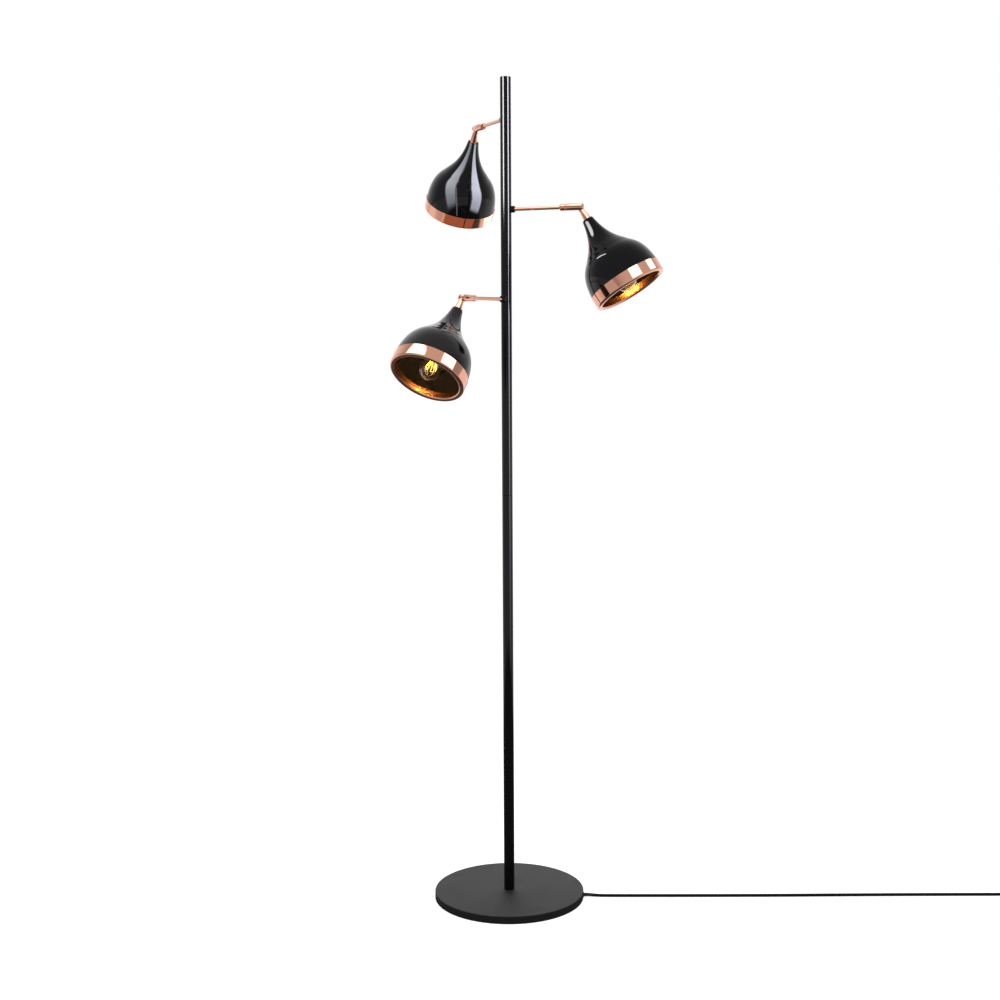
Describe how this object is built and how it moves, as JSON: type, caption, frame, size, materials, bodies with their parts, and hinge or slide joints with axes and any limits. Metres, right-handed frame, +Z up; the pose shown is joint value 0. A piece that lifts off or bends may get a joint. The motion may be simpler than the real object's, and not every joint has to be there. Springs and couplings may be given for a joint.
{
  "type": "floor lamp",
  "caption": "Floor lamp with spot heads on short arms: round weighted base, straight pole, bell shades with copper rims that swivel and tilt, cord with foot switch.",
  "frame": {"origin": "on the floor, under the middle of the round base", "axes": "+Z up along the pole, +X towards the side where the cord leaves the base, the pictured front faces -Y"},
  "size_m": [1.4037, 0.5755, 1.622],
  "materials": {
    "satin_black": "satin",
    "gloss_black": "gloss",
    "copper": "polished",
    "cast_iron": "matte",
    "zinc_steel": "satin",
    "foam": "matte",
    "black_plastic": "satin",
    "button_plastic": "satin",
    "cord_black": "satin",
    "holder_black": "satin",
    "clear_glass": "polished",
    "nickel": "polished",
    "filament": "gloss"
  },
  "bodies": {
    "stand": {"base_cover": "satin_black", "base_weight": "cast_iron", "base_pad": "foam", "base_stud": "zinc_steel", "base_washer": "zinc_steel", "base_nut": "zinc_steel", "cord_grommet": "black_plastic", "cord_clamp": "black_plastic", "pole_lower": "gloss_black", "pole_joiner": "zinc_steel", "pole_upper": "gloss_black", "pole_cap": "gloss_black", "wiring": "cord_black", "boss_upper": "gloss_black", "boss_middle": "gloss_black", "boss_lower": "gloss_black", "arm_upper": "copper", "arm_middle": "copper", "arm_lower": "copper", "cord_run": "cord_black", "foot_switch": "black_plastic", "cord_coil": "cord_black", "plug": "black_plastic", "plug_pins": "nickel"},
    "knuckle_body_upper": {"collar_upper": "copper", "knuckle_upper": "copper", "pivot_upper": "copper"},
    "head_body_upper": {"stem_upper": "copper", "neck_nut_upper": "zinc_steel", "shade_upper": "gloss_black", "rim_band_upper": "copper", "lamp_holder_upper": "holder_black", "bulb_glass_upper": "clear_glass", "bulb_cap_upper": "nickel", "filament_upper": "filament"},
    "knuckle_body_middle": {"collar_middle": "copper", "knuckle_middle": "copper", "pivot_middle": "copper"},
    "head_body_middle": {"stem_middle": "copper", "neck_nut_middle": "zinc_steel", "shade_middle": "gloss_black", "rim_band_middle": "copper", "lamp_holder_middle": "holder_black", "bulb_glass_middle": "clear_glass", "bulb_cap_middle": "nickel", "filament_middle": "filament"},
    "knuckle_body_lower": {"collar_lower": "copper", "knuckle_lower": "copper", "pivot_lower": "copper"},
    "head_body_lower": {"stem_lower": "copper", "neck_nut_lower": "zinc_steel", "shade_lower": "gloss_black", "rim_band_lower": "copper", "lamp_holder_lower": "holder_black", "bulb_glass_lower": "clear_glass", "bulb_cap_lower": "nickel", "filament_lower": "filament"},
    "button_body": {"switch_button": "button_plastic"}
  },
  "joints": [
    {"name": "swivel_upper", "type": "hinge", "parent": "stand", "child": "knuckle_body_upper", "pos_m": [-0.05079, 0.11967, 1.5435], "axis": [-0.3907, 0.9205, 0], "range_deg": [-90, 90]},
    {"name": "tilt_upper", "type": "hinge", "parent": "knuckle_body_upper", "child": "head_body_upper", "pos_m": [-0.05861, 0.13808, 1.5435], "axis": [0.9205, 0.3907, 0], "range_deg": [-47, 58]},
    {"name": "swivel_middle", "type": "hinge", "parent": "stand", "child": "knuckle_body_middle", "pos_m": [0.12053, -0.0487, 1.372], "axis": [0.9272, -0.3746, 0], "range_deg": [-90, 90]},
    {"name": "tilt_middle", "type": "hinge", "parent": "knuckle_body_middle", "child": "head_body_middle", "pos_m": [0.13908, -0.05619, 1.372], "axis": [-0.3746, -0.9272, 0], "range_deg": [-48, 57]},
    {"name": "swivel_lower", "type": "hinge", "parent": "stand", "child": "knuckle_body_lower", "pos_m": [-0.0708, -0.10903, 1.2005], "axis": [-0.5446, -0.8387, 0], "range_deg": [-90, 90]},
    {"name": "tilt_lower", "type": "hinge", "parent": "knuckle_body_lower", "child": "head_body_lower", "pos_m": [-0.0817, -0.1258, 1.2005], "axis": [-0.8387, 0.5446, 0], "range_deg": [-54, 51]},
    {"name": "button_press", "type": "slide", "parent": "stand", "child": "button_body", "axis": [0, 0, -1], "range_m": [0, 0.003], "stiffness_N_per_m": 500, "springref_m": -0.002}
  ]
}
